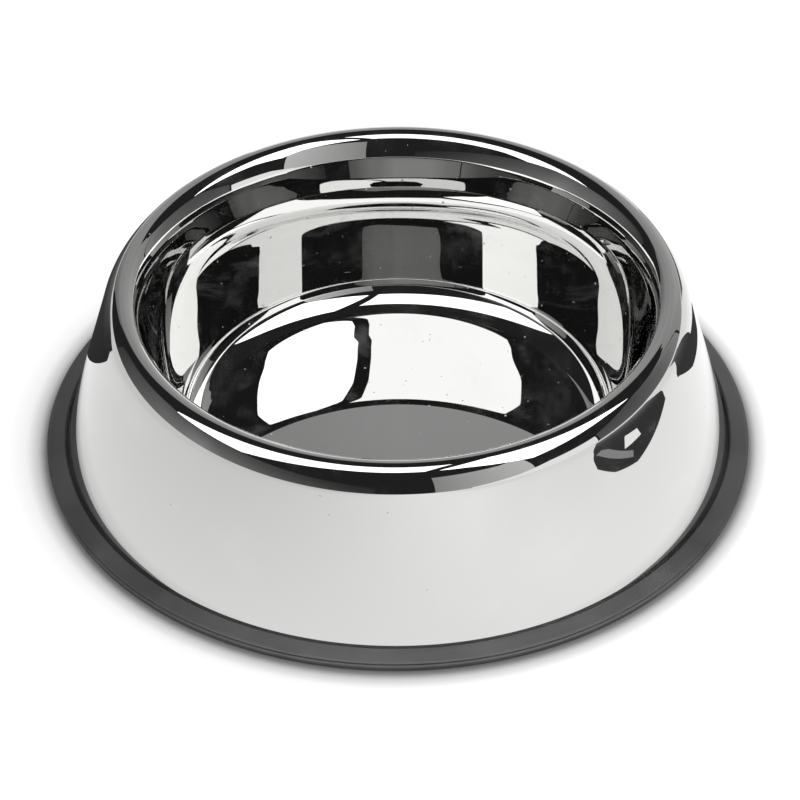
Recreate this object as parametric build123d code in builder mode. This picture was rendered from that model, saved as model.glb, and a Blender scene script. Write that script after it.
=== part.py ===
# Non-tip steel feeding bowl: a pressed inner bowl, a flared outer skirt and a rubber ring round the foot.
# Millimetres, +Z up. The origin is the centre of the foot, on the surface that the bowl stands on.
import os
from math import acos, atan2, cos, degrees, hypot, radians, sin, tan

from build123d import *

os.makedirs("parts", exist_ok=True)

# Overall sizes
rim_radius = 87.6        # crest of the rounded rim, where the two pressings meet
rim_height = 61.0        # crest of the rim above the ground
base_radius = 115.0      # outside of the rubber ring
seam_gap = 0.05          # butt seam at the crest, welded and polished flush on the real bowl

# Inner bowl, with a rim that is tight over the crest and eases into the throat
bowl_sheet = 0.8
bowl_crest_bend = 4.3
bowl_crest_turn = 54.0   # degrees that the tight bend turns through
bowl_flank_bend = 20.4
throat_angle = 14.5      # degrees from upright, under the rim
throat_depth = 14.3      # from the crest down to where the wall steepens
wall_draft = 11.4        # degrees from upright
wall_depth = 36.3        # from the crest down to where the wall leans in a little more
hip_draft = 12.4         # degrees from upright, from there down to the floor
floor_height = 1.7       # upper face of the floor above the ground
throat_bend = 7.0
hip_bend = 60.0
floor_bend = 11.5

# Outer skirt, with a rim that is tight over the crest and eases into the flare
skirt_sheet = 0.7
skirt_crest_bend = 4.6
skirt_crest_turn = 45.0  # degrees that the tight bend turns through
skirt_flank_bend = 15.0
brim_width = 3.6         # turned out at the foot to hold the ring
brim_bend = 1.0

# Rubber ring
ring_fit = 0.1           # room round the brim in the ring's channel
ring_sole = 1.8          # rubber under the brim
ring_wall = 2.9          # rubber outside the brim
ring_height = 4.2        # top edge beside the skirt
collar_stand = 0.7       # top edge outside the corner of the foot, so that a groove opens beside the skirt
ring_reach = 4.0         # sole showing inside the skirt's foot
lip_height = 1.7         # lower lip of the outside
notch_width = 0.7        # groove above the lip
notch_depth = 1.0
notch_step = 0.3         # the upper part stands this far inside the lip
sole_round = 0.5
lip_round = 0.3
collar_round = 0.3
shoulder_round = 0.2

# Places worked out from the sizes
brim_top = ring_sole + ring_fit + skirt_sheet
brim_radius = base_radius - ring_wall - ring_fit
foot_radius = brim_radius - brim_width
seam_half = seam_gap / 2

# Skirt line: from the corner at the foot, tangent to the rim's outer bend
bend_drop = skirt_crest_bend + (skirt_flank_bend - skirt_crest_bend) * cos(radians(skirt_crest_turn))
bend_shift = (skirt_flank_bend - skirt_crest_bend) * sin(radians(skirt_crest_turn))
bend_to_foot_r = foot_radius - (rim_radius + seam_half - bend_shift)
bend_to_foot_z = brim_top - (rim_height - bend_drop)
bend_to_foot = hypot(bend_to_foot_r, bend_to_foot_z)
foot_bearing = degrees(atan2(bend_to_foot_z, bend_to_foot_r))
skirt_angle = foot_bearing + degrees(acos(skirt_flank_bend / bend_to_foot))  # degrees from upright

# Inner bowl: one line from the crest to the middle of the floor, thickened downwards
with BuildPart() as inner_bowl:
    with BuildSketch(Plane.XZ):
        with BuildLine():
            crest = JernArc((rim_radius - seam_half, rim_height), (-1, 0), bowl_crest_bend, bowl_crest_turn)
            flank = JernArc(crest @ 1, crest % 1, bowl_flank_bend, 90 - throat_angle - bowl_crest_turn)
            throat = flank @ 1
            wall_z = rim_height - throat_depth
            wall_r = throat.X - (throat.Y - wall_z) * tan(radians(throat_angle))
            hip_z = rim_height - wall_depth
            hip_r = wall_r - (wall_z - hip_z) * tan(radians(wall_draft))
            corner_r = hip_r - (hip_z - floor_height) * tan(radians(hip_draft))
            FilletPolyline(
                throat,
                (wall_r, wall_z),
                (hip_r, hip_z),
                (corner_r, floor_height),
                (0, floor_height),
                radius=(throat_bend, hip_bend, floor_bend),
            )
            offset(amount=bowl_sheet, side=Side.LEFT)
        make_face()
    revolve(axis=Axis.Z)
inner_bowl.part.label = "inner_bowl"
export_step(inner_bowl.part, "parts/inner_bowl.step")

# Outer skirt: the outer half of the rim, a straight flare and a brim turned out at the foot
with BuildSketch(Plane.XZ) as skirt_section:
    with BuildLine():
        crest = JernArc((rim_radius + seam_half, rim_height), (1, 0), skirt_crest_bend, -skirt_crest_turn)
        flank = JernArc(crest @ 1, crest % 1, skirt_flank_bend, skirt_angle + skirt_crest_turn - 90)
        FilletPolyline(flank @ 1, (foot_radius, brim_top), (brim_radius, brim_top), radius=brim_bend)
        offset(amount=skirt_sheet, side=Side.RIGHT)
    make_face()

with BuildPart() as outer_skirt:
    add(skirt_section.sketch)
    revolve(axis=Axis.Z)
outer_skirt.part.label = "outer_skirt"
export_step(outer_skirt.part, "parts/outer_skirt.step")

# Rubber ring: its channel is the skirt's own section with room all round
with BuildPart() as rubber_ring:
    with BuildSketch(Plane.XZ):
        with BuildLine():
            FilletPolyline(
                (foot_radius - ring_reach, 0),
                (base_radius, 0),
                (base_radius, lip_height),
                (base_radius - notch_depth, lip_height + notch_width / 2),
                (base_radius - notch_step, lip_height + notch_width),
                (foot_radius + collar_stand, ring_height),
                (foot_radius, brim_top),
                (foot_radius, ring_sole),
                (foot_radius - ring_reach, ring_sole),
                radius=(sole_round, sole_round, lip_round, 0, shoulder_round, collar_round, 0, 0, sole_round),
                close=True,
            )
        make_face()
        offset(skirt_section.sketch_local, amount=ring_fit, mode=Mode.SUBTRACT)
    revolve(axis=Axis.Z)
rubber_ring.part.label = "rubber_ring"
export_step(rubber_ring.part, "parts/rubber_ring.step")
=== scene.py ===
from math import acos, atan2, cos, degrees, hypot, pi, radians, sin, tan

import bmesh
import bpy
from mathutils import Matrix, Vector


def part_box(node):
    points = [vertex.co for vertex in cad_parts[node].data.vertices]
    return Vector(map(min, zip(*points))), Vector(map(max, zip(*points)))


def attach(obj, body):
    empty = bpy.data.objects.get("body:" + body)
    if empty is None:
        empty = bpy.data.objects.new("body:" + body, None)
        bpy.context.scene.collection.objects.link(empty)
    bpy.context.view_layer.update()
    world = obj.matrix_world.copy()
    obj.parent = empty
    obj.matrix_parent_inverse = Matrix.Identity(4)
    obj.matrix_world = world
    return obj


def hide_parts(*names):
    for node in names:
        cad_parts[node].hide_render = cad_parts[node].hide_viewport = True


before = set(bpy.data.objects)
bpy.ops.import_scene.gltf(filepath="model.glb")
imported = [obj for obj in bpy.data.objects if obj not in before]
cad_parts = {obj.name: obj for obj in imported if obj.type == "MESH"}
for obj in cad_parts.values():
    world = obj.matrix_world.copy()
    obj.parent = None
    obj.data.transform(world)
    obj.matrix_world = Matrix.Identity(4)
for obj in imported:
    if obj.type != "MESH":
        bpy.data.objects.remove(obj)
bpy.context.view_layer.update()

mm = 0.001
scene = bpy.context.scene
print("frame loaded:", ", ".join(sorted(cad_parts)))


# Small helpers shared by the pieces and the materials

def toLinear(hexColour):
    # sRGB hex to the linear colour that the shaders take
    channels = [int(hexColour[i:i + 2], 16) / 255 for i in (1, 3, 5)]
    return [c / 12.92 if c <= 0.04045 else ((c + 0.055) / 1.055) ** 2.4 for c in channels] + [1.0]


def addNode(tree, kind, values=None, links=None, **settings):
    node = tree.nodes.new(kind)
    for name, value in settings.items():
        setattr(node, name, value)
    for key, value in (values or {}).items():
        node.inputs[key].default_value = value
    for key, source in (links or {}).items():
        tree.links.new(source, node.inputs[key])
    return node


def newMaterial(name):
    material = bpy.data.materials.new(name)
    material.use_nodes = True
    material.node_tree.nodes.clear()
    return material, material.node_tree


# Materials

polish = {
    "steel": "#cdcdcc",         # about 0.62 of the light comes back from each bounce
    "waveSize": 38.0,           # mm between the shallow waves that pressing leaves
    "waveDepth": 0.022,         # mm
    "buffSize": 0.8,            # mm, drawn coarser than the real buffing lines so that they show
    "buffFlatShare": 0.35,      # lines lie this much closer up the wall than across the floor
    "wipeSize": 15.0,           # mm across a wiped patch
    "wipeStretch": 0.35,        # patches run along the wiping strokes
    "wipeTurn": (0.5, 0.35, 0.8),   # radians, the way that the strokes run
    "filmStart": 0.5,           # level of the patches where the film starts
    "filmFull": 0.7,            # level where it is thickest
    "filmWeight": 0.85,
    "filmRoughness": 0.34,      # thin dried film in the wiped patches
    "filmIndex": 1.6,           # a dense film, so that it shows on dark reflections
    "clearRoughness": 0.008,
    "buffRoughness": 0.018,
    "bowlSpecks": 6.0,          # mm between grains of dust and pits
    "skirtSpecks": 15.0,        # fewer stay on the steep outside
    "speckSize": 0.9,           # mm
    "speckRoughness": 0.5,
}


def mirrorPolishedStainless(name, seed, speckSpacing):
    # Pressed stainless sheet, buffed to a mirror: hard-edged reflections, a slow wave left by the press,
    # faint buffing lines round the axis, a dried film in wiped patches and a few specks that break the mirror
    material, tree = newMaterial(name)
    place = addNode(tree, "ShaderNodeTexCoord").outputs["Object"]
    wave = addNode(tree, "ShaderNodeTexNoise",
        {"Scale": 1 / (polish["waveSize"] * mm), "Detail": 0.0, "W": seed}, {"Vector": place},
        noise_dimensions="4D")
    press = addNode(tree, "ShaderNodeBump", {"Strength": 1.0, "Distance": polish["waveDepth"] * mm},
        {"Height": wave.outputs["Fac"]})
    # lines at a constant distance from the axis, on walls and floor alike
    flat = addNode(tree, "ShaderNodeVectorMath", {1: (1, 1, 0)}, {0: place}, operation="MULTIPLY")
    fromAxis = addNode(tree, "ShaderNodeVectorMath", links={0: flat.outputs["Vector"]}, operation="LENGTH")
    split = addNode(tree, "ShaderNodeSeparateXYZ", links={"Vector": place})
    along = addNode(tree, "ShaderNodeMath", {1: polish["buffFlatShare"]},
        {0: fromAxis.outputs["Value"], 2: split.outputs["Z"]}, operation="MULTIPLY_ADD")
    buff = addNode(tree, "ShaderNodeTexNoise",
        {"Scale": 1 / (polish["buffSize"] * mm), "Detail": 3.0, "Roughness": 0.7},
        {"W": along.outputs["Value"]}, noise_dimensions="1D")
    lined = addNode(tree, "ShaderNodeMapRange",
        {"From Min": 0.35, "From Max": 0.75,
            "To Min": polish["clearRoughness"], "To Max": polish["buffRoughness"]},
        {"Value": buff.outputs["Fac"]})
    # wiped patches, longer along the strokes
    stroke = addNode(tree, "ShaderNodeMapping",
        {"Rotation": polish["wipeTurn"], "Scale": (1, polish["wipeStretch"], 1)}, {"Vector": place})
    wipe = addNode(tree, "ShaderNodeTexNoise",
        {"Scale": 1 / (polish["wipeSize"] * mm), "Detail": 7.0, "Roughness": 0.66, "W": seed + 3},
        {"Vector": stroke.outputs["Vector"]}, noise_dimensions="4D")
    film = addNode(tree, "ShaderNodeMapRange",
        {"From Min": polish["filmStart"], "From Max": polish["filmFull"],
            "To Min": 0.0, "To Max": polish["filmWeight"]},
        {"Value": wipe.outputs["Fac"]}, interpolation_type="SMOOTHSTEP")
    # specks: grains scattered in space, of which the sheet meets only a few
    scatter = addNode(tree, "ShaderNodeMapping", {"Location": (seed, seed, seed)}, {"Vector": place})
    grains = addNode(tree, "ShaderNodeTexVoronoi", {"Scale": 1 / (speckSpacing * mm)},
        {"Vector": scatter.outputs["Vector"]})
    grainSize = polish["speckSize"] / 2 / speckSpacing
    speck = addNode(tree, "ShaderNodeMapRange",
        {"From Min": grainSize, "From Max": grainSize * 0.5, "To Min": 0.0, "To Max": 1.0},
        {"Value": grains.outputs["Distance"]})
    rough = addNode(tree, "ShaderNodeMath", {1: polish["speckRoughness"]},
        {0: speck.outputs["Result"], 2: lined.outputs["Result"]}, operation="MULTIPLY_ADD")
    shader = addNode(tree, "ShaderNodeBsdfPrincipled",
        {"Base Color": toLinear(polish["steel"]), "Metallic": 1.0,
            "Coat Roughness": polish["filmRoughness"], "Coat IOR": polish["filmIndex"]},
        {"Roughness": rough.outputs["Value"], "Coat Weight": film.outputs["Result"],
            "Normal": press.outputs["Normal"]})
    addNode(tree, "ShaderNodeOutputMaterial", links={"Surface": shader.outputs["BSDF"]})
    return material


rubberFinish = {
    "dark": "#3f3f40",
    "pale": "#4e4e4f",
    "grainSize": 0.35,          # mm, spark texture of the mould
    "grainDepth": 0.02,         # mm
    "patchSize": 22.0,          # mm
    "patchLow": 0.3,            # levels of the patches that are fully dark and fully pale
    "patchHigh": 0.7,
    "smoothest": 0.36,
    "mattest": 0.5,
    "index": 1.6,
}


def mouldedRubber(name):
    # Moulded synthetic rubber: a soft dark grey with a fine matt grain and a little bloom in patches
    material, tree = newMaterial(name)
    place = addNode(tree, "ShaderNodeTexCoord").outputs["Object"]
    patch = addNode(tree, "ShaderNodeTexNoise",
        {"Scale": 1 / (rubberFinish["patchSize"] * mm), "Detail": 4.0, "Roughness": 0.6}, {"Vector": place})
    grain = addNode(tree, "ShaderNodeTexNoise",
        {"Scale": 1 / (rubberFinish["grainSize"] * mm), "Detail": 2.0, "Roughness": 0.5}, {"Vector": place})
    ramp = addNode(tree, "ShaderNodeValToRGB", links={"Fac": patch.outputs["Fac"]})
    ramp.color_ramp.elements[0].position = rubberFinish["patchLow"]
    ramp.color_ramp.elements[0].color = toLinear(rubberFinish["dark"])
    ramp.color_ramp.elements[1].position = rubberFinish["patchHigh"]
    ramp.color_ramp.elements[1].color = toLinear(rubberFinish["pale"])
    rough = addNode(tree, "ShaderNodeMapRange",
        {"From Min": rubberFinish["patchLow"], "From Max": rubberFinish["patchHigh"],
            "To Min": rubberFinish["smoothest"], "To Max": rubberFinish["mattest"]},
        {"Value": patch.outputs["Fac"]})
    bump = addNode(tree, "ShaderNodeBump", {"Strength": 1.0, "Distance": rubberFinish["grainDepth"] * mm},
        {"Height": grain.outputs["Fac"]})
    shader = addNode(tree, "ShaderNodeBsdfPrincipled", {"IOR": rubberFinish["index"]},
        {"Base Color": ramp.outputs["Color"], "Roughness": rough.outputs["Result"],
            "Normal": bump.outputs["Normal"]})
    addNode(tree, "ShaderNodeOutputMaterial", links={"Surface": shader.outputs["BSDF"]})
    return material


# The lathe: a line of corners, each with its own bend, is rounded, divided and swept round the axis

def socketOf(tree, label):
    return next(item.identifier for item in tree.interface.items_tree if item.name == label)


def makeLatheTree():
    tree = bpy.data.node_groups.new("latheTree", "GeometryNodeTree")
    tree.interface.new_socket("Geometry", in_out="INPUT", socket_type="NodeSocketGeometry")
    for label, kind in (("Segments", "NodeSocketInt"), ("Rail Radius", "NodeSocketFloat"),
            ("Longest Step", "NodeSocketFloat"), ("Weld", "NodeSocketFloat"),
            ("Finish", "NodeSocketMaterial")):
        tree.interface.new_socket(label, in_out="INPUT", socket_type=kind)
    tree.interface.new_socket("Geometry", in_out="OUTPUT", socket_type="NodeSocketGeometry")
    sizes = addNode(tree, "NodeGroupInput").outputs
    bend = addNode(tree, "GeometryNodeInputNamedAttribute", {"Name": "bend"}, data_type="FLOAT")
    steps = addNode(tree, "GeometryNodeInputNamedAttribute", {"Name": "steps"}, data_type="INT")
    line = addNode(tree, "GeometryNodeMeshToCurve", links={"Mesh": sizes["Geometry"]})
    rounded = addNode(tree, "GeometryNodeFilletCurve", {"Limit Radius": True},
        {"Curve": line.outputs["Curve"], "Radius": bend.outputs["Attribute"],
            "Count": steps.outputs["Attribute"]}, mode="POLY")
    # long straight runs get extra points, so that the swept faces stay even
    here = addNode(tree, "GeometryNodeInputPosition")
    thisPoint = addNode(tree, "GeometryNodeInputIndex")
    nextPoint = addNode(tree, "GeometryNodeOffsetPointInCurve",
        {"Offset": 1}, {"Point Index": thisPoint.outputs["Index"]})
    there = addNode(tree, "GeometryNodeSampleIndex",
        links={"Geometry": rounded.outputs["Curve"], "Value": here.outputs["Position"],
            "Index": nextPoint.outputs["Point Index"]}, data_type="FLOAT_VECTOR")
    span = addNode(tree, "ShaderNodeVectorMath",
        links={0: here.outputs["Position"], 1: there.outputs["Value"]}, operation="DISTANCE")
    cuts = addNode(tree, "ShaderNodeMath", links={0: span.outputs["Value"], 1: sizes["Longest Step"]},
        operation="DIVIDE")
    divided = addNode(tree, "GeometryNodeSubdivideCurve",
        links={"Curve": rounded.outputs["Curve"], "Cuts": cuts.outputs["Value"]})
    rail = addNode(tree, "GeometryNodeCurvePrimitiveCircle",
        links={"Resolution": sizes["Segments"], "Radius": sizes["Rail Radius"]})
    upright = addNode(tree, "GeometryNodeSetCurveNormal", links={"Curve": rail.outputs["Curve"]}, mode="Z_UP")
    swept = addNode(tree, "GeometryNodeCurveToMesh",
        links={"Curve": upright.outputs["Curve"], "Profile Curve": divided.outputs["Curve"]})
    welded = addNode(tree, "GeometryNodeMergeByDistance",
        links={"Geometry": swept.outputs["Mesh"], "Distance": sizes["Weld"]})
    smooth = addNode(tree, "GeometryNodeSetShadeSmooth", links={"Geometry": welded.outputs["Geometry"]})
    real = addNode(tree, "GeometryNodeRealizeInstances", links={"Geometry": smooth.outputs["Geometry"]})
    finished = addNode(tree, "GeometryNodeSetMaterial",
        links={"Geometry": real.outputs["Geometry"], "Material": sizes["Finish"]})
    addNode(tree, "NodeGroupOutput", links={"Geometry": finished.outputs["Geometry"]})
    return tree


latheTree = makeLatheTree()
lathe = {"segments": 512, "railRadius": 80.0, "weld": 0.002, "sharpAngle": 40.0}


def turnOnLathe(name, corners, closed, material, longestStep):
    # corners are (radius, height, bend, steps) in mm; the line lies flat, in the sweep's own axes
    mesh = bpy.data.meshes.new(name + "Line")
    count = len(corners)
    edges = [(i, i + 1) for i in range(count - 1)] + ([(count - 1, 0)] if closed else [])
    points = [((r - lathe["railRadius"]) * mm, -z * mm, 0) for r, z, bend, steps in corners]
    mesh.from_pydata(points, edges, [])
    mesh.attributes.new("bend", "FLOAT", "POINT").data.foreach_set("value", [c[2] * mm for c in corners])
    mesh.attributes.new("steps", "INT", "POINT").data.foreach_set("value", [c[3] for c in corners])
    drawn = bpy.data.objects.new(name + "Drawn", mesh)
    scene.collection.objects.link(drawn)
    sweep = drawn.modifiers.new("lathe", "NODES")
    sweep.node_group = latheTree
    for label, value in (("Segments", lathe["segments"]), ("Rail Radius", lathe["railRadius"] * mm),
            ("Longest Step", longestStep * mm), ("Weld", lathe["weld"] * mm), ("Finish", material)):
        sweep[socketOf(latheTree, label)] = value
    bpy.context.view_layer.update()
    graph = bpy.context.evaluated_depsgraph_get()
    turned = bpy.data.meshes.new_from_object(drawn.evaluated_get(graph), depsgraph=graph)
    drawn.modifiers.remove(sweep)
    bpy.data.objects.remove(drawn)
    shell = bmesh.new()
    shell.from_mesh(turned)
    bmesh.ops.recalc_face_normals(shell, faces=shell.faces)
    openEdges = sum(not edge.is_manifold for edge in shell.edges)
    shell.to_mesh(turned)
    shell.free()
    for layer in [a.name for a in turned.attributes if a.name in ("bend", "steps")]:
        turned.attributes.remove(turned.attributes[layer])
    turned.set_sharp_from_angle(angle=radians(lathe["sharpAngle"]))
    turned.name = name
    piece = bpy.data.objects.new(name, turned)
    scene.collection.objects.link(piece)
    triangles = sum(len(face.vertices) - 2 for face in turned.polygons)
    print(f"{name}: {len(turned.vertices)} points, {triangles} triangles, {openEdges} open edges")
    return piece


def tangentBends(start, heading, bends):
    # corners of arcs that run on from each other: each arc is (bend, turn in degrees, steps),
    # and a turn to the left is positive
    corners = []
    for bend, turn, steps in bends:
        reach = bend * tan(abs(radians(turn)) / 2)
        corner = start + heading * reach
        corners.append((corner.x, corner.y, bend, steps))
        heading = Matrix.Rotation(radians(turn), 2) @ heading
        start = corner + heading * reach
    return corners, start, heading


def sheetBelow(corners, thickness, steps):
    # the other face of the sheet, on the left of the line, with each bend opened or closed by the thickness
    points = [Vector(c[:2]) for c in corners]
    runs = [(b - a).normalized() for a, b in zip(points, points[1:])]
    runs = [runs[0]] + runs + [runs[-1]]
    below = []
    for point, corner, into, out in zip(points, corners, runs, runs[1:]):
        left = Vector((-into.y, into.x)) + Vector((-out.y, out.x))
        move = left * (thickness * 2 / left.length_squared)
        turnsLeft = into.x * out.y - into.y * out.x > 0
        bend = max(corner[2] + (-thickness if turnsLeft else thickness), 0) if corner[2] else 0
        below.append((point.x + move.x, point.y + move.y, bend, min(corner[3], steps)))
    return below


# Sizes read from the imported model

bowlBox = [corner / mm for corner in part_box("inner_bowl")]
skirtBox = [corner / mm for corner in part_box("outer_skirt")]
ringBox = [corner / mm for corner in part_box("rubber_ring")]
rimHeight = bowlBox[1].z
rimRadius = bowlBox[1].x
brimRadius = skirtBox[1].x
baseRadius = ringBox[1].x

rim = {"crestSteps": 18, "flankSteps": 12, "seamLand": 0.02}


# Inner bowl: crest, throat, wall and floor pressed from one sheet

bowl = {
    "sheet": 0.8,
    "crestBend": 4.3,
    "crestTurn": 54.0,          # degrees
    "flankBend": 20.4,
    "throatAngle": 14.5,        # degrees from upright
    "throatDepth": 14.3,
    "wallDraft": 11.4,          # degrees from upright
    "wallDepth": 36.3,
    "hipDraft": 12.4,           # degrees from upright
    "floorHeight": 1.7,
    "throatBend": 190.0,        # slower than the model's: the reflections flow on without a line there
    "throatSteps": 8,
    "hipBend": 400.0,
    "hipSteps": 4,
    "floorBend": 11.5,
    "floorSteps": 24,
    "floorRise": 0.7,           # the middle of the floor springs up a little, which only its reflections show
    "risePower": 3.0,           # flat in the middle and steeper towards the edge of the rise
    "riseRadius": 50.5,
    "riseSteps": 24,
    "riseBend": 80.0,           # where the rise begins
    "riseBendSteps": 5,
    "underSteps": 6,            # most steps in a bend of the face that isn't seen
    "longestStep": 3.4,
}


def bowlLine():
    crown = [(bowl["crestBend"], bowl["crestTurn"], rim["crestSteps"]),
        (bowl["flankBend"], 90 - bowl["throatAngle"] - bowl["crestTurn"], rim["flankSteps"])]
    crest = Vector((rimRadius - rim["seamLand"], rimHeight))
    corners, throat, heading = tangentBends(crest, Vector((-1, 0)), crown)
    wallZ = rimHeight - bowl["throatDepth"]
    wallR = throat.x - (throat.y - wallZ) * tan(radians(bowl["throatAngle"]))
    hipZ = rimHeight - bowl["wallDepth"]
    hipR = wallR - (wallZ - hipZ) * tan(radians(bowl["wallDraft"]))
    cornerR = hipR - (hipZ - bowl["floorHeight"]) * tan(radians(bowl["hipDraft"]))
    shares = [step / bowl["riseSteps"] for step in range(bowl["riseSteps"], -1, -1)]
    spring = [(share * bowl["riseRadius"],
        bowl["floorHeight"] + bowl["floorRise"] * (1 - share ** bowl["risePower"]),
        bowl["riseBend"] * (share == 1), bowl["riseBendSteps"]) for share in shares]
    return ([(rimRadius, rimHeight, 0, 1)] + corners
        + [(wallR, wallZ, bowl["throatBend"], bowl["throatSteps"]),
            (hipR, hipZ, bowl["hipBend"], bowl["hipSteps"]),
            (cornerR, bowl["floorHeight"], bowl["floorBend"], bowl["floorSteps"])] + spring)


innerSide = bowlLine()
underSide = sheetBelow(innerSide, bowl["sheet"], bowl["underSteps"])
bowlFinish = mirrorPolishedStainless("mirrorPolishedStainlessBowl", 1.0, polish["bowlSpecks"])
innerBowl = turnOnLathe("innerBowl", innerSide[::-1] + underSide, False, bowlFinish, bowl["longestStep"])


# Outer skirt: the same crest, a straight flare, and a brim turned out at the foot

skirt = {
    "sheet": 0.7,
    "crestBend": 4.6,
    "crestTurn": 45.0,          # degrees
    "flankBend": 15.0,
    "brimWidth": 3.6,
    "brimBend": 1.0,
    "brimSteps": 6,
    "brimTop": 2.6,
    "hiddenSteps": 6,           # most steps in a bend of the face that isn't seen
    "longestStep": 2.2,
}


def skirtLine():
    footR = brimRadius - skirt["brimWidth"]
    easing = skirt["flankBend"] - skirt["crestBend"]
    bendDrop = skirt["crestBend"] + easing * cos(radians(skirt["crestTurn"]))
    bendShift = easing * sin(radians(skirt["crestTurn"]))
    across = footR - (rimRadius - bendShift)
    down = skirt["brimTop"] - (rimHeight - bendDrop)
    flare = degrees(atan2(down, across)) + degrees(acos(skirt["flankBend"] / hypot(across, down)))
    crown = [(skirt["crestBend"], -skirt["crestTurn"], rim["crestSteps"]),
        (skirt["flankBend"], flare + skirt["crestTurn"] - 90, rim["flankSteps"])]
    crest = Vector((rimRadius + rim["seamLand"], rimHeight))
    corners = tangentBends(crest, Vector((1, 0)), crown)[0]
    brim = [(footR, skirt["brimTop"], skirt["brimBend"], skirt["brimSteps"]),
        (brimRadius, skirt["brimTop"], 0, 1)]
    return [(rimRadius, rimHeight, 0, 1)] + corners + brim, footR


outerSide, footRadius = skirtLine()
hiddenSide = sheetBelow(outerSide, -skirt["sheet"], skirt["hiddenSteps"])
skirtFinish = mirrorPolishedStainless("mirrorPolishedStainlessSkirt", 7.0, polish["skirtSpecks"])
outerSkirt = turnOnLathe("outerSkirt", outerSide + hiddenSide[::-1], True, skirtFinish, skirt["longestStep"])


# Rubber ring: lip, groove and sloping collar outside, a channel for the brim inside

ring = {
    "fit": 0.1,
    "sole": 1.8,
    "height": 4.2,
    "collarStand": 0.7,
    "reach": 4.0,
    "lipHeight": 1.7,
    "notchWidth": 0.7,
    "notchDepth": 1.0,
    "notchStep": 0.3,
    "soleRound": 0.5,
    "lipRound": 0.3,
    "collarRound": 0.3,
    "shoulderRound": 0.2,
    "roundSteps": 5,
    "mouthGap": 0.16,           # the channel's mouth follows the bend at the skirt's foot
    "mouthHeight": 0.2,
    "mouthReach": 0.55,
    "longestStep": 1.2,
}


def ringLine():
    channelTop = skirt["brimTop"] + ring["fit"]
    channelEnd = brimRadius + ring["fit"]
    toes = footRadius - ring["reach"]
    lip = ring["lipHeight"]
    gap = ring["notchWidth"]
    steps = ring["roundSteps"]
    return [
        (toes, 0, ring["soleRound"], steps),
        (baseRadius, 0, ring["soleRound"], steps),
        (baseRadius, lip, ring["lipRound"], steps),
        (baseRadius - ring["notchDepth"], lip + gap / 2, 0, 1),
        (baseRadius - ring["notchStep"], lip + gap, ring["shoulderRound"], steps),
        (footRadius + ring["collarStand"], ring["height"], ring["collarRound"], steps),
        (footRadius + ring["mouthGap"], channelTop + ring["mouthHeight"], 0, 1),
        (footRadius + ring["mouthReach"], channelTop, 0, 1),
        (channelEnd, channelTop, 0, 1),
        (channelEnd, ring["sole"], 0, 1),
        (toes, ring["sole"], ring["soleRound"], steps),
    ]


ringFinish = mouldedRubber("mouldedRubberRing")
rubberRing = turnOnLathe("rubberRing", ringLine(), True, ringFinish, ring["longestStep"])

for piece, node, slotName in (
        (innerBowl, "inner_bowl", "bowl_steel"),
        (outerSkirt, "outer_skirt", "skirt_steel"),
        (rubberRing, "rubber_ring", "ring_rubber")):
    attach(piece, "root")
    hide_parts(node)
print("pieces placed")


# Studio: a white table with dark mats, two softboxes overhead, and cards that stand round the bowl

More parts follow.
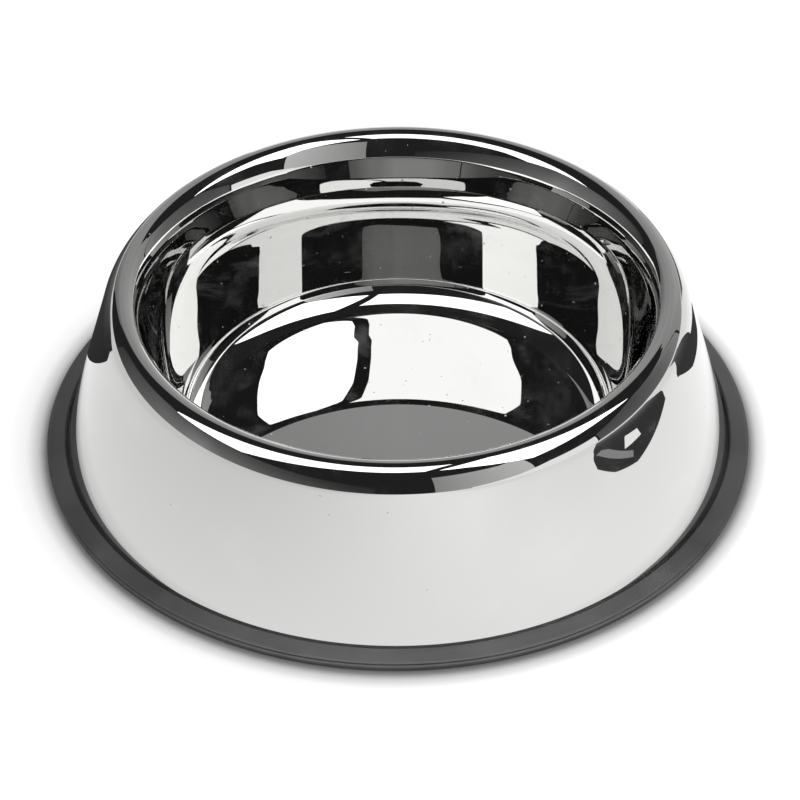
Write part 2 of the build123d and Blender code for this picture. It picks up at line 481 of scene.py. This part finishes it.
studio = {
    "floorColour": "#f6f6f6",
    "floorSize": 12.0,          # m, what the camera sees
    "floorLevel": -0.0006,      # m, the table and then the mats lie just above it
    "tableLevel": -0.0004,
    "matLevel": -0.0003,
    "matStep": 0.00002,         # each mat lies this much above the last
    "room": 0.022,              # light of the room behind the cards
    "lampHeight": 0.9,          # m
    # glow of each softbox, then its corners in m
    "lamps": {
        "softboxLeft": (2.5, (0.145, -0.72), (0.145, -0.05), (-1.73, 0.0), (-1.42, -0.85)),
        "softboxRight": (3.3, (0.22, -0.69), (0.22, 0.05), (1.53, 0.2), (1.21, -0.99)),
    },
    # what the steel sees of the table: radius in mm and how much of the light gets there beside the ring
    "table": ((100, 0.05), (115.5, 0.1), (118, 0.5), (122, 0.85), (130, 1.0), (200, 1.0), (350, 1.0),
        (700, 1.0), (2500, 1.0)),
    # mm to the right of the middle and the table's glow there
    "tableGlow": ((-300, 0.86), (0, 1.15), (130, 1.26), (300, 1.06)),
    "tableSteps": 96,
    # mats that lie on the table: corners x, y in mm and glow, paler far from the bowl
    "mats": {
        "leftMat": ((-105, 46, 0.03), (-160, 46, 0.03), (-288, 122, 0.03), (-420, 260, 0.06),
            (-560, 440, 0.3), (-300, 520, 0.3), (-105, 480, 0.2)),
        "rightMat": ((198, 2, 0.05), (196, -62, 0.05), (206, -95, 0.05), (222, -124, 0.05), (234, -131, 0.05),
            (246, -133, 0.05), (900, -330, 0.3), (900, 60, 0.3), (300, 25, 0.05), (230, 10, 0.05)),
        "stripeMat": ((113, 76, 0.05), (122, 62, 0.05), (150, 41, 0.05), (182, 27, 0.05), (420, 150, 0.1),
            (900, 330, 0.3), (900, 480, 0.3), (400, 215, 0.1), (150, 64, 0.05), (124, 76, 0.05)),
        "farMat": ((190, 230, 0.08), (300, 290, 0.08), (560, 560, 0.25), (900, 900, 0.4), (300, 900, 0.4),
            (150, 400, 0.15)),
        "whitePatch": ((214, -47, 1.25), (224, -50, 1.25), (234, -72, 1.25), (220, -76, 1.25)),
        "greyPatch": ((204, -66, 0.35), (210, -64, 0.35), (246, -118, 0.35), (240, -128, 0.35)),
    },
    "cardDistance": 3.5,        # m
    # bearing from straight behind, lowest and highest angle in degrees, glow at the foot and at the top
    "cards": {
        "backdrop": ((-38, -1, 30, 0.2, 0.2), (-32, -1, 37, 0.24, 0.24), (-27, -1, 46, 0.32, 0.3),
            (-20, -1, 50, 0.4, 0.34), (0, -1, 46, 0.6, 0.34), (25, -1, 41, 0.6, 0.35),
            (36, -1, 40, 0.5, 0.36), (42, -1, 37, 0.42, 0.34), (53, -1, 33, 0.36, 0.32)),
        "leftFill": ((-172, -1, 14, 0.05, 0.03), (-145, -1, 22, 0.12, 0.06), (-120, -1, 27, 0.22, 0.1),
            (-109, -1, 27, 0.34, 0.12), (-98, -1, 27, 0.26, 0.14), (-78, -1, 27, 0.16, 0.12),
            (-58, -1, 24, 0.06, 0.05)),
        "rightFill": ((54, -1, 32, 0.34, 0.3), (68, -1, 28, 0.2, 0.16), (85, -1, 24, 0.15, 0.1),
            (106, -1, 14, 0.14, 0.1)),
        "greyBoard": ((132, -1, 38, 0.73, 0.73), (141, -1, 35.5, 0.64, 0.64), (167.5, -1, 34.5, 0.36, 0.36)),
    },
    "nearCardDistance": 3.3,
    "nearCards": {
        "lowWhite": ((-9, -1, 12, 1.5, 1.0), (20, -1, 12, 1.5, 0.8)),
        "rightBoard": ((107, -1, 12, 1.2, 1.2), (126, -1, 11, 1.2, 1.2), (138, -1, 5, 1.2, 1.2),
            (155, -1, 1, 1.2, 1.2)),
    },
}


def board(name, corners, faces, glows):
    # a lit sheet of the studio, with a glow for each corner, that only the steel and the floor see
    mesh = bpy.data.meshes.new(name)
    mesh.from_pydata(corners, [], faces)
    mesh.attributes.new("glow", "FLOAT", "POINT").data.foreach_set("value", glows)
    panel = bpy.data.objects.new(name, mesh)
    scene.collection.objects.link(panel)
    material, tree = newMaterial(name + "Surface")
    glow = addNode(tree, "ShaderNodeAttribute", attribute_name="glow")
    shader = addNode(tree, "ShaderNodeEmission", links={"Strength": glow.outputs["Fac"]})
    addNode(tree, "ShaderNodeOutputMaterial", links={"Surface": shader.outputs[0]})
    mesh.materials.append(material)
    panel.visible_camera = False
    panel.visible_shadow = False
    return panel


def standingCard(name, points, distance):
    # a card that stands round the bowl, from one bearing to the next
    corners, glows = [], []
    for bearing, low, high, lowGlow, highGlow in points:
        x, y = sin(radians(bearing)) * distance, cos(radians(bearing)) * distance
        corners += [(x, y, distance * tan(radians(low))), (x, y, distance * tan(radians(high)))]
        glows += [lowGlow, highGlow]
    return board(name, corners, [(i, i + 2, i + 3, i + 1) for i in range(0, len(corners) - 2, 2)], glows)


def glowAt(x):
    # the table's glow, along straight lines from one given place to the next
    places = studio["tableGlow"]
    x = min(max(x, places[0][0]), places[-1][0])
    for (left, leftGlow), (right, rightGlow) in zip(places, places[1:]):
        if x <= right:
            return leftGlow + (rightGlow - leftGlow) * (x - left) / (right - left)


def lyingTable():
    # rings of corners from under the foot outwards, shaded beside the rubber and brighter on the right
    steps = studio["tableSteps"]
    corners, faces, glows = [], [], []
    for level, (radius, share) in enumerate(studio["table"]):
        for step in range(steps):
            turn = 2 * pi * step / steps
            x, y = radius * cos(turn), radius * sin(turn)
            corners.append((x * mm, y * mm, studio["tableLevel"]))
            glows.append(share * glowAt(x))
            if level:
                here, after = level * steps + step, level * steps + (step + 1) % steps
                faces.append((here - steps, here, after, after - steps))
    return board("table", corners, faces, glows)


half = studio["floorSize"] / 2
floorCorners = ((-half, -half), (half, -half), (half, half), (-half, half))
floorMesh = bpy.data.meshes.new("floor")
floorMesh.from_pydata([(x, y, studio["floorLevel"]) for x, y in floorCorners], [], [(0, 1, 2, 3)])
floor = bpy.data.objects.new("floor", floorMesh)
scene.collection.objects.link(floor)
floorMaterial, floorTree = newMaterial("paleFloorPaper")
paper = addNode(floorTree, "ShaderNodeBsdfDiffuse", {"Color": toLinear(studio["floorColour"])})
addNode(floorTree, "ShaderNodeOutputMaterial", links={"Surface": paper.outputs[0]})
floorMesh.materials.append(floorMaterial)
floor.visible_glossy = False

lyingTable()
for number, (name, corners) in enumerate(studio["mats"].items()):
    z = studio["matLevel"] + number * studio["matStep"]
    mat = board(name, [(x * mm, y * mm, z) for x, y, glow in corners], [tuple(range(len(corners)))],
        [glow for x, y, glow in corners])
    mat.visible_diffuse = False
for name, (glow, *corners) in studio["lamps"].items():
    board(name, [(x, y, studio["lampHeight"]) for x, y in corners], [tuple(range(len(corners)))],
        [glow] * len(corners))
for name, points in studio["cards"].items():
    standingCard(name, points, studio["cardDistance"])
for name, points in studio["nearCards"].items():
    standingCard(name, points, studio["nearCardDistance"])

# the camera sees a white room, and the steel a dark one behind the cards
world = bpy.data.worlds.new("room")
scene.world = world
world.use_nodes = True
world.node_tree.nodes.clear()
path = addNode(world.node_tree, "ShaderNodeLightPath")
dark = addNode(world.node_tree, "ShaderNodeBackground", {"Color": (1, 1, 1, 1), "Strength": studio["room"]})
pale = addNode(world.node_tree, "ShaderNodeBackground", {"Color": (1, 1, 1, 1)})
either = addNode(world.node_tree, "ShaderNodeMixShader", links={0: path.outputs["Is Camera Ray"],
    1: dark.outputs[0], 2: pale.outputs[0]})
addNode(world.node_tree, "ShaderNodeOutputWorld", links={"Surface": either.outputs[0]})

scene.view_settings.view_transform = "Standard"

# Camera, where the photograph was taken from

eye = {
    "location": (0.0, -1120.2, 920.7),  # mm
    "aim": (0.82, 0.0, 14.75),
    "roll": -0.4,               # degrees
    "lens": 198.5,
    "sensor": 36.0,
}
cameraData = bpy.data.cameras.new("camera")
cameraData.lens = eye["lens"]
cameraData.sensor_width = eye["sensor"]
camera = bpy.data.objects.new("camera", cameraData)
scene.collection.objects.link(camera)
camera.location = Vector(eye["location"]) * mm
gaze = (Vector(eye["aim"]) - Vector(eye["location"])).to_track_quat("-Z", "Y").to_matrix()
camera.rotation_euler = (gaze @ Matrix.Rotation(radians(eye["roll"]), 3, "Z")).to_euler()
scene.camera = camera
print("studio and camera set")
